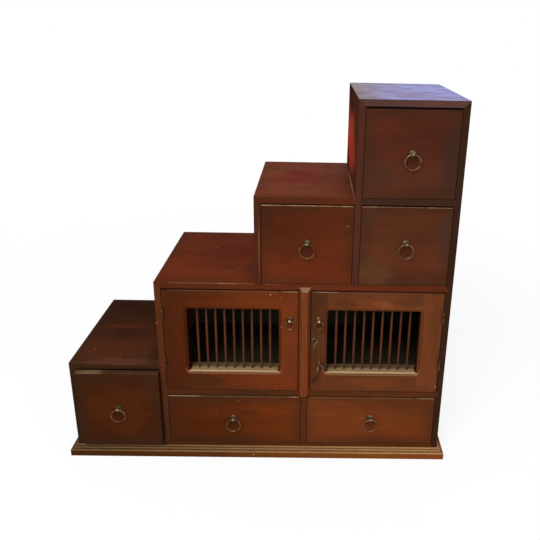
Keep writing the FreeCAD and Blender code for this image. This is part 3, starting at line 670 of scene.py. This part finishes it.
def metal(node, tone, worn_tone, eye_highlight_tone=None):
    """Dress a node in aged metal, brighter where it is rubbed, and on a pull with a painted highlight
    on its eye.
    """
    paint = Paint(node + "_metal")
    rubbed = paint.fade(paint.noise(paint.point, rubs_per_metre), *rubbed_span)
    colour = paint.mix(rubbed, linear(tone), linear(worn_tone))
    if eye_highlight_tone:
        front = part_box(node)[0][1]
        eye_highlight = paint.fade(paint.y, front + eye_reach, front + eye_soft_share * eye_reach)
        colour = paint.mix(eye_highlight, colour, linear(eye_highlight_tone))
    paint.feed(paint.shader.inputs["Base Color"], colour)
    paint.shader.inputs["Metallic"].default_value = 1.0
    paint.feed(paint.shader.inputs["Roughness"], paint.fade(rubbed, 0.0, 1.0, *metal_rough_shares))
    paint.bump(paint.noise(paint.point, scratches_per_metre), metal_bump_share, scratch_depth)
    dress(node, paint.material)


def plain(node, tone, grain, layers=()):
    """Dress a node in plain, unstained wood."""
    paint = Paint(node + "_plain")
    tone = linear(tone)
    colour, height = figured(paint, tone, grain)
    for layer in layers:
        colour = layer(paint, colour, tone)
    finish_wood(paint, colour, height, wood_gloss, bare_rough)
    dress(node, paint.material)


def stained_front(paint, colour, tone):
    """The ends of a drawer's sides are stained as its front is."""
    near_front = paint.past(paint.y, front_plane, drawer_side_reach)
    return paint.mix(near_front, colour, linear(drawer_side_stain))


def cupboard_back(paint, colour, tone):
    """The back sheets have another colour on the side that faces the cupboard."""
    low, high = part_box("back_panels")
    facing = paint.past(paint.y, low[1], back_sheet_reach)
    return paint.mix(facing, colour, linear(cupboard_wall))


def make_camera():
    """The camera that the chest's corners in the photo were fitted to."""
    camera = bpy.data.cameras.new("camera")
    camera.sensor_width = sensor_width_mm
    camera.lens = camera_lens_mm
    camera.shift_x, camera.shift_y = camera_shift
    camera.clip_start = camera_clip_start
    holder = bpy.data.objects.new("camera", camera)
    holder.location = camera_place
    holder.rotation_euler = [math.radians(angle) for angle in camera_tilt_deg]
    bpy.context.scene.collection.objects.link(holder)
    bpy.context.scene.camera = holder


def string_material():
    """A twisted string, whose twist is painted in lit and shaded bands, dirty above its knot, cleaner
    in places below it, with a dark tail.
    """
    paint = Paint("string_fibre")
    turns_across, turns_up = twist_per_metre
    turn = paint.math("ADD", paint.product(paint.z, turns_up), paint.product(paint.x, turns_across))
    shade = paint.fade(paint.math("SINE", turn), -1.0, 1.0)
    colour = paint.mix(shade, linear(string_shaded_tone), linear(string_lit_tone))
    clean = paint.fade(paint.noise(paint.point, string_dirt_per_metre), *string_dirt_span)
    below = paint.past(paint.z, string_knot[2], clean_knot_reach)
    colour = paint.mix(paint.product(clean, below, clean_knot_share), colour, linear(string_clean))
    far_end = paint.past(paint.x, string_knot[0], dark_tail_reach)
    colour = paint.mix(paint.product(far_end, dark_tail_share), colour, linear(string_tail_tone))
    paint.feed(paint.shader.inputs["Base Color"], colour)
    paint.shader.inputs["Roughness"].default_value = string_rough
    paint.shader.inputs["Specular IOR Level"].default_value = string_gloss
    paint.bump(shade, fibre_bump_share, fibre_depth)
    return paint.material


def curve_piece(name, points, diameter, material):
    """A round string on a smooth curve through its route's corners."""
    curve = bpy.data.curves.new(name, "CURVE")
    curve.dimensions = "3D"
    curve.bevel_depth = diameter / 2
    curve.bevel_resolution = bevel_steps
    curve.use_fill_caps = True
    spline = curve.splines.new("NURBS")
    spline.points.add(len(points) - 1)
    for point, place in zip(spline.points, points):
        point.co = (*place, 1.0)
    spline.order_u = curve_order
    spline.use_endpoint_u = True
    spline.resolution_u = curve_steps
    curve.materials.append(material)
    piece = bpy.data.objects.new(name, curve)
    bpy.context.scene.collection.objects.link(piece)
    return piece


def string_run(start, shares):
    """The corners of a run, from where it starts."""
    return [start + Vector(share) * string_span for share in shares]


def make_string():
    """The string from the ring to the key, with its hitch, knot, tail and loose end."""
    material = string_material()
    start, knot = Vector(string_exit), Vector(string_knot)
    along = (knot - start).normalized() * near_bend
    route = [start, start + along, knot - along, knot] + string_run(knot, threaded_end_shares)
    string = curve_piece("string", route, string_diameter, material)
    loose_run, tail_run = string_run(knot, loose_end_shares), string_run(knot, tail_shares)
    loose = curve_piece("string_loose_end", loose_run, string_diameter, material)
    tail = curve_piece("string_tail", tail_run, string_diameter, material)
    bpy.ops.mesh.primitive_torus_add(
        major_radius=hitch_radius, minor_radius=string_diameter / 2,
        major_segments=hitch_segments[0], minor_segments=hitch_segments[1],
        location=start + Vector((0, 0, hitch_radius)), rotation=(0, math.pi / 2, 0),
    )
    hitch = bpy.context.object
    hitch.name = "string_hitch"
    bpy.ops.mesh.primitive_uv_sphere_add(
        radius=knot_radius, segments=knot_segments[0], ring_count=knot_segments[1], location=knot)
    tie = bpy.context.object
    tie.name = "string_knot"
    for piece in (hitch, tie):
        piece.data.materials.append(material)
        for face in piece.data.polygons:
            face.use_smooth = True
    ends = [loose, tail, hitch, tie]
    for piece in [string] + ends:
        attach(piece, "key_on_string")
    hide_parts("key_string")


def ring_mark(name, back):
    """The wood behind a ring is darker, partly dirt and partly a painted shadow of the ring."""
    low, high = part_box(name + "_ring")
    reach = ring_mark_reach_share * (high[0] - low[0]) / 2
    centre = ((low[0] + high[0]) / 2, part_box(back)[0][1], (low[2] + high[2]) / 2)
    return centre, (reach, board, reach), ring_mark_tone, ring_mark_share


# Stains, chips and patches, and a few painted reflections and glows: centre, reach each way, colour
# and share
tread_1_marks = [
    ((-0.33, -0.138, tread_1_top), (0.11, 0.022, 0.004), (92, 56, 40), 0.45),
    ((-0.362, -0.02, tread_1_top), (0.05, 0.035, 0.004), (46, 24, 15), 0.6),
    ((-0.365, 0.02, tread_1_top), (0.08, 0.012, 0.004), (84, 34, 22), 0.5),
    ((-0.325, -0.122, tread_1_top), (0.005, 0.007, 0.003), (48, 27, 18), 0.6),
    ((-0.313, -0.1135, tread_1_top), (0.004, 0.006, 0.003), (48, 27, 18), 0.6),
    ((-0.2888, -0.1048, tread_1_top), (0.004, 0.006, 0.003), (48, 27, 18), 0.6),
    ((-0.4103, -0.0865, tread_1_top), (0.003, 0.003, 0.003), (122, 92, 70), 0.6),
    # Painted reflection: the tread is darker beside the step 2 side.
    ((-0.255, -0.08, tread_1_top), (0.018, 0.1, 0.004), (44, 28, 20), 0.55),
]
step_2_marks = [
    ((-0.2344, front_plane, 0.3715), (0.002, 0.003, 0.003), (150, 104, 68), 0.7),
    ((-0.2211, front_plane, 0.285), (0.002, 0.003, 0.0035), (150, 104, 68), 0.7),
    ((-0.221, front_plane, 0.402), (0.0012, 0.003, 0.02), (122, 84, 58), 0.6),
    ((-0.2228, front_plane, 0.257), (0.0012, 0.003, 0.012), (112, 70, 46), 0.5),
    ((-0.2364, front_plane, 0.0368), (0.0025, 0.003, 0.003), (200, 160, 120), 0.8),
]
tread_2_marks = [
    ((-0.123, 0.058, tread_2_top), (0.006, 0.003, 0.003), (150, 105, 84), 0.6),
    ((-0.0484, 0.1087, tread_2_top), (0.003, 0.004, 0.003), (140, 95, 74), 0.5),
    ((-0.0475, -0.0647, tread_2_top), (0.004, 0.003, 0.003), (140, 95, 74), 0.5),
    ((-0.08, 0.03, tread_2_top), (0.1, 0.05, 0.004), (86, 27, 13), 0.55),
    # Painted reflection: the tread is darker beside the step 3 side.
    ((-0.012, -0.05, tread_2_top), (0.022, 0.09, 0.004), (62, 32, 20), 0.5),
]
# Worn spans of a tread's front edge: start, end and share
tread_2_edge = [(-0.2, 0.0, 0.25), (-0.092, -0.046, 0.6), (0.02, 0.05, 0.3)]
step_3_marks = [((0.0075, front_plane, 0.56), (0.002, 0.003, 0.08), (122, 74, 48), 0.45)]
tread_3_marks = [
    # The red oval is the wood's colour, partly a painted glow of light.
    ((0.088, 0.022, tread_3_top), (0.058, 0.06, 0.004), (98, 29, 14), 0.9),
    ((0.2178, -0.03, tread_3_top), (0.0016, 0.13, 0.004), (164, 126, 108), 0.6),
]
side_4_marks = [
    # The red patch is the wood's colour, partly a painted glow of light.
    ((side_4_face, 0.08, 0.772), (0.004, 0.19, 0.07), (166, 60, 42), 0.9),
    ((side_4_face, -0.12, 0.80), (0.004, 0.04, 0.12), (66, 34, 26), 0.5),
    ((side_4_face, 0.1, 0.885), (0.004, 0.14, 0.05), (48, 28, 23), 0.7),
]
door_left_marks = [
    ((0.0327, front_plane, 0.449), (0.002, 0.003, 0.003), (160, 118, 80), 0.7),
    ((0.0569, front_plane, 0.4443), (0.0016, 0.003, 0.0016), (136, 90, 56), 0.6),
    ((0.0582, front_plane, 0.3641), (0.0016, 0.003, 0.002), (180, 136, 96), 0.8),
    ((0.057, front_plane, 0.2586), (0.0014, 0.003, 0.0018), (180, 136, 96), 0.75),
    ((-0.13, front_plane, 0.212), (0.06, 0.003, 0.02), (56, 33, 17), 0.6),
    ((0.0, front_plane, 0.213), (0.045, 0.003, 0.016), (104, 46, 17), 0.15),
]
door_right_marks = [
    ((0.4359, front_plane, 0.4034), (0.0014, 0.004, 0.005), (160, 130, 120), 0.6),
    ((0.4345, front_plane, 0.2045), (0.0014, 0.004, 0.006), (160, 122, 96), 0.6),
    ((0.205, front_plane, 0.428), (0.035, 0.003, 0.014), (66, 38, 22), 0.6),
    ((0.355, front_plane, 0.432), (0.055, 0.003, 0.01), (72, 40, 26), 0.6),
    ((0.295, front_plane, 0.427), (0.03, 0.003, 0.012), (122, 64, 30), 0.4),
    ((0.28, front_plane, 0.213), (0.08, 0.003, 0.02), (118, 60, 28), 0.4),
]
drawer_marks = {
    "drawer_1": [((-0.335, drawer_1_plane, 0.13), (0.09, 0.003, 0.075), (84, 36, 12), 0.35)],
    "drawer_2": [
        ((-0.1028, front_plane, 0.1189), (0.0015, 0.003, 0.0015), (150, 120, 84), 0.7),
        ((-0.0487, front_plane, 0.1567), (0.003, 0.003, 0.0022), (130, 86, 48), 0.6),
        ((-0.02, front_plane, 0.122), (0.035, 0.003, 0.008), (62, 32, 16), 0.5),
    ],
    "drawer_3": [
        ((0.257, front_plane, 0.110), (0.012, 0.003, 0.0014), (150, 92, 50), 0.4),
        ((0.33, front_plane, 0.09), (0.014, 0.003, 0.0012), (140, 84, 46), 0.3),
    ],
    "drawer_4": [
        ((0.2043, front_plane, 0.6213), (0.002, 0.003, 0.0025), (138, 92, 64), 0.6),
        ((0.018, front_plane, 0.64), (0.03, 0.003, 0.04), (50, 28, 20), 0.5),
        ((0.06, front_plane, 0.585), (0.055, 0.003, 0.06), (60, 27, 13), 0.45),
    ],
    "drawer_5": [
        ((0.262, front_plane, 0.507), (0.06, 0.003, 0.042), (80, 56, 36), 0.42),
        ((0.25, front_plane, 0.645), (0.04, 0.003, 0.024), (58, 38, 28), 0.5),
        ((0.427, front_plane, 0.60), (0.03, 0.003, 0.07), (60, 40, 32), 0.5),
    ],
    "drawer_6": [
        ((0.262, front_plane, 0.737), (0.05, 0.003, 0.045), (52, 34, 24), 0.45),
        ((0.425, front_plane, 0.76), (0.03, 0.003, 0.12), (50, 33, 26), 0.55),
    ],
}
base_marks = [
    ((-0.0108, -0.160, 0.0091), (0.0018, 0.003, 0.0018), (196, 156, 116), 0.8),
    ((0.3703, -0.157, 0.021), (0.0014, 0.006, 0.004), (200, 180, 150), 0.8),
    ((0.4211, -0.157, 0.020), (0.003, 0.006, 0.004), (206, 186, 160), 0.8),
]

make_camera()
make_string()

# Boards of the case
wooden("step_1_side", (51, 30, 16), "z")
wooden(
    "step_1_tread", (63, 32, 17), "x", up=(1.25, 0.45), face=0.72, gloss=tread_gloss, grime=0.6,
    spots=tread_1_marks)
wooden("step_2_side", (87, 41, 18), "z", spots=step_2_marks)
wooden(
    "step_2_tread", (89, 37, 17), "x", across=(0.92, 1.15), up=(1.22, 1.02), face=0.8,
    gloss=tread_gloss, grime=0.35, spots=tread_2_marks,
    layers=[worn_head("step_2_tread", tread_2_edge, tread_edge_reach)])
wooden("step_3_side", (72, 29, 13), "z", spots=step_3_marks)
wooden("step_3_tread", (97, 44, 23), "x", face=0.66, gloss=tread_gloss, grime=0.3, spots=tread_3_marks)
wooden("step_4_side", (78, 39, 29), "z", gloss=0.0, spots=side_4_marks)
wooden("step_4_tread", (84, 46, 42), "x", face=0.8, gloss=0.17, roughest=0.4)
# The right side's inner face is painted dark behind its front edge, as shade.
wooden("right_side", (47, 23, 14), "z", layers=[dark_side(case_half_width - board)])
wooden("lower_shelf", (80, 37, 14), "x", across=(0.85, 1.2), layers=[inside(cupboard_floor)])
# The insides of the upper shelf, floor board and lower divider are painted dark, as shade.
wooden("upper_shelf", (56, 33, 24), "x", layers=[inside(painted_shade_tone)])
wooden("floor_board", (78, 38, 14), "x", across=(0.75, 1.1), grime=0.3, layers=[inside(painted_shade_tone)])
wooden("lower_divider", (84, 41, 18), "z", layers=[inside(painted_shade_tone)])
wooden(
    "base_front", (98, 53, 17), "x", across=(0.45, 1.35), grime=0.15, layers=[pale_ledges],
    spots=base_marks)
wooden("base_left", (68, 36, 13), "y", grime=0.15, layers=[pale_ledges])
wooden("base_right", (98, 58, 30), "y", grime=0.15, layers=[pale_ledges])
wooden("door_post", (103, 51, 23), "z", up=(0.9, 1.0), grime=0.1, layers=[pale_strip_end])
plain("back_panels", (66, 44, 30), "z", [cupboard_back])
plain("floor_bearers", (110, 78, 52), "y")
plain("door_stops", (60, 40, 26), "x")

# Drawers: tone, painted light and shade at the left and right, and at the foot and head; then the
# worn spans of the head with their shares, how far back the wear reaches, and its colour
drawer_looks = {
    "drawer_1": (
        (61, 28, 8), (0.85, 0.95), (0.9, 0.95),
        [(-0.44, -0.37, 0.42), (-0.37, -0.235, 0.1)], 0.0125, bare_wood),
    "drawer_2": (
        (84, 37, 11), (0.74, 1.15), (0.95, 1.0),
        [(-0.222, -0.141, 0.8), (-0.141, 0.07, 0.3), (0.076, 0.1, 0.8)], 0.0016, bare_wood),
    "drawer_3": (
        (95, 47, 20), (1.05, 0.92), (0.97, 1.0),
        [(0.13, 0.38, 0.25), (0.392, 0.436, 0.75)], 0.0016, bare_wood),
    "drawer_4": (
        (74, 31, 14), (1.0, 1.05), (1.25, 0.95),
        [(0.01, 0.216, 0.95)], 0.0022, bare_wood),
    "drawer_5": (
        (74, 37, 21), (1.0, 0.92), (1.1, 0.95),
        [(0.233, 0.27, 0.85), (0.27, 0.37, 0.45), (0.38, 0.435, 0.8)], 0.0018, bare_wood),
    # Drawer 6's head is painted dark, as the shade of the gap above it.
    "drawer_6": (
        (65, 31, 20), (1.0, 0.86), (1.3, 1.05),
        [(0.235, 0.435, 1.0)], 0.0016, painted_shade_tone),
}
for name, (tone, across, up, worn, reach, worn_tone) in drawer_looks.items():
    front = name + "_front"
    wooden(
        front, tone, "x", across=across, up=up,
        spots=drawer_marks[name] + [ring_mark(name, front)],
        layers=[worn_head(front, worn, reach, worn_tone)])
    plain(name + "_box", drawer_box_tone, "y", [stained_front])
    # The pull's third colour is a painted highlight on its eye.
    metal(name + "_pull", (62, 51, 35), (90, 77, 53), (136, 118, 90))
    metal(name + "_ring", (76, 56, 40), (126, 94, 68))

# Doors: tone, painted light and shade at the left and right, window, marks, and the worn spans of the
# head
door_looks = {
    "left_door": (
        (78, 33, 11), (0.8, 1.75), left_window, door_left_marks,
        [(-0.2, 0.05, 0.2), (0.06, 0.098, 0.8)]),
    "right_door": (
        (99, 52, 27), (0.78, 0.98), right_window, door_right_marks,
        [(0.127, 0.19, 0.7), (0.2, 0.4, 0.15)]),
}
for name, (tone, across, window, marks, worn) in door_looks.items():
    front = name + "_frame"
    wooden(
        front, tone, "z", across=across, grime=0.3, rails=window,
        spots=marks + [ring_mark(name, front)],
        layers=[window_edge(window), worn_head(front, worn, door_head_reach)])
    wooden(name + "_spindles", (77, 43, 27), "z", grime=0.0, layers=[spindle_tone])
    # The pull's third colour is a painted highlight on its eye.
    metal(name + "_pull", (62, 44, 26), (98, 74, 46), (176, 154, 114))
    metal(name + "_ring", (82, 58, 38), (138, 106, 72))
    metal(name + "_hinge_leaves", *painted_iron)
metal("case_hinge_leaves", *painted_iron)
metal("keyhole_plate", (70, 50, 32), (124, 98, 70))
metal("lock_case", *iron)
metal("lock_bolt", *iron)
metal("key", (34, 25, 18), (88, 64, 48))


def aim(piece, target):
    """Turn a lamp towards a place."""
    direction = Vector(target) - piece.location
    piece.rotation_euler = direction.to_track_quat("-Z", "Y").to_euler()


def make_lamp(name, place, size, power, tint, target):
    """A round lamp that isn't seen itself."""
    lamp = bpy.data.lights.new(name, "AREA")
    lamp.shape = "DISK"
    lamp.size = size
    lamp.energy = power
    lamp.color = linear(tint)[:3]
    holder = bpy.data.objects.new(name, lamp)
    holder.location = place
    holder.visible_camera = False
    bpy.context.scene.collection.objects.link(holder)
    aim(holder, target)


def seen_directly(tree):
    """One for rays of the camera and for those that a reflection or a clear thing sends on."""
    path = tree.nodes.new("ShaderNodeLightPath")
    first = tree.nodes.new("ShaderNodeMath")
    first.operation = "MAXIMUM"
    second = tree.nodes.new("ShaderNodeMath")
    second.operation = "MAXIMUM"
    tree.links.new(path.outputs["Is Camera Ray"], first.inputs[0])
    tree.links.new(path.outputs["Is Glossy Ray"], first.inputs[1])
    tree.links.new(first.outputs[0], second.inputs[0])
    tree.links.new(path.outputs["Is Transmission Ray"], second.inputs[1])
    return second.outputs[0]


def make_sky():
    """White where it is seen, and softer as a light."""
    world = bpy.data.worlds.new("sky")
    world.use_nodes = True
    tree = world.node_tree
    background = tree.nodes["Background"]
    background.inputs["Color"].default_value = (1, 1, 1, 1)
    strength = tree.nodes.new("ShaderNodeMapRange")
    strength.inputs["To Min"].default_value = sky_strength
    tree.links.new(seen_directly(tree), strength.inputs["Value"])
    tree.links.new(strength.outputs[0], background.inputs["Strength"])
    bpy.context.scene.world = world


def make_floor():
    """A pale floor that is white where it is seen, but for the object's shadow."""
    half = floor_size / 2
    mesh = bpy.data.meshes.new("floor")
    corners = [(-half, -half, 0), (half, -half, 0), (half, half, 0), (-half, half, 0)]
    mesh.from_pydata(corners, [], [(0, 1, 2, 3)])
    floor = bpy.data.objects.new("floor", mesh)
    bpy.context.scene.collection.objects.link(floor)
    material = bpy.data.materials.new("floor")
    material.use_nodes = True
    tree = material.node_tree
    tree.nodes.clear()
    output = tree.nodes.new("ShaderNodeOutputMaterial")
    diffuse = tree.nodes.new("ShaderNodeBsdfDiffuse")
    diffuse.inputs["Color"].default_value = linear(floor_colour)
    white = tree.nodes.new("ShaderNodeEmission")
    mixed = tree.nodes.new("ShaderNodeMixShader")
    coordinates = tree.nodes.new("ShaderNodeTexCoord")
    distance = tree.nodes.new("ShaderNodeVectorMath")
    distance.operation = "LENGTH"
    tree.links.new(coordinates.outputs["Object"], distance.inputs[0])
    whiteness = tree.nodes.new("ShaderNodeMapRange")
    whiteness.interpolation_type = "SMOOTHSTEP"
    tree.links.new(distance.outputs["Value"], whiteness.inputs["Value"])
    whiteness.inputs["From Min"].default_value = shadow_reach[0]
    whiteness.inputs["From Max"].default_value = shadow_reach[1]
    whiteness.inputs["To Min"].default_value = 1 - floor_shadow_share
    share = tree.nodes.new("ShaderNodeMath")
    share.operation = "MULTIPLY"
    tree.links.new(seen_directly(tree), share.inputs[0])
    tree.links.new(whiteness.outputs[0], share.inputs[1])
    tree.links.new(share.outputs[0], mixed.inputs[0])
    tree.links.new(diffuse.outputs[0], mixed.inputs[1])
    tree.links.new(white.outputs[0], mixed.inputs[2])
    tree.links.new(mixed.outputs[0], output.inputs["Surface"])
    mesh.materials.append(material)


make_lamp("key_light", key_place, key_size, key_power, lamp_white, lamp_target)
make_lamp("fill_light", fill_place, fill_size, fill_power, lamp_white, lamp_target)
make_lamp("far_window", window_place, window_size, window_power, window_tint, window_target)
make_sky()
make_floor()

bpy.context.scene.view_settings.view_transform = "Standard"
bpy.context.view_layer.update()
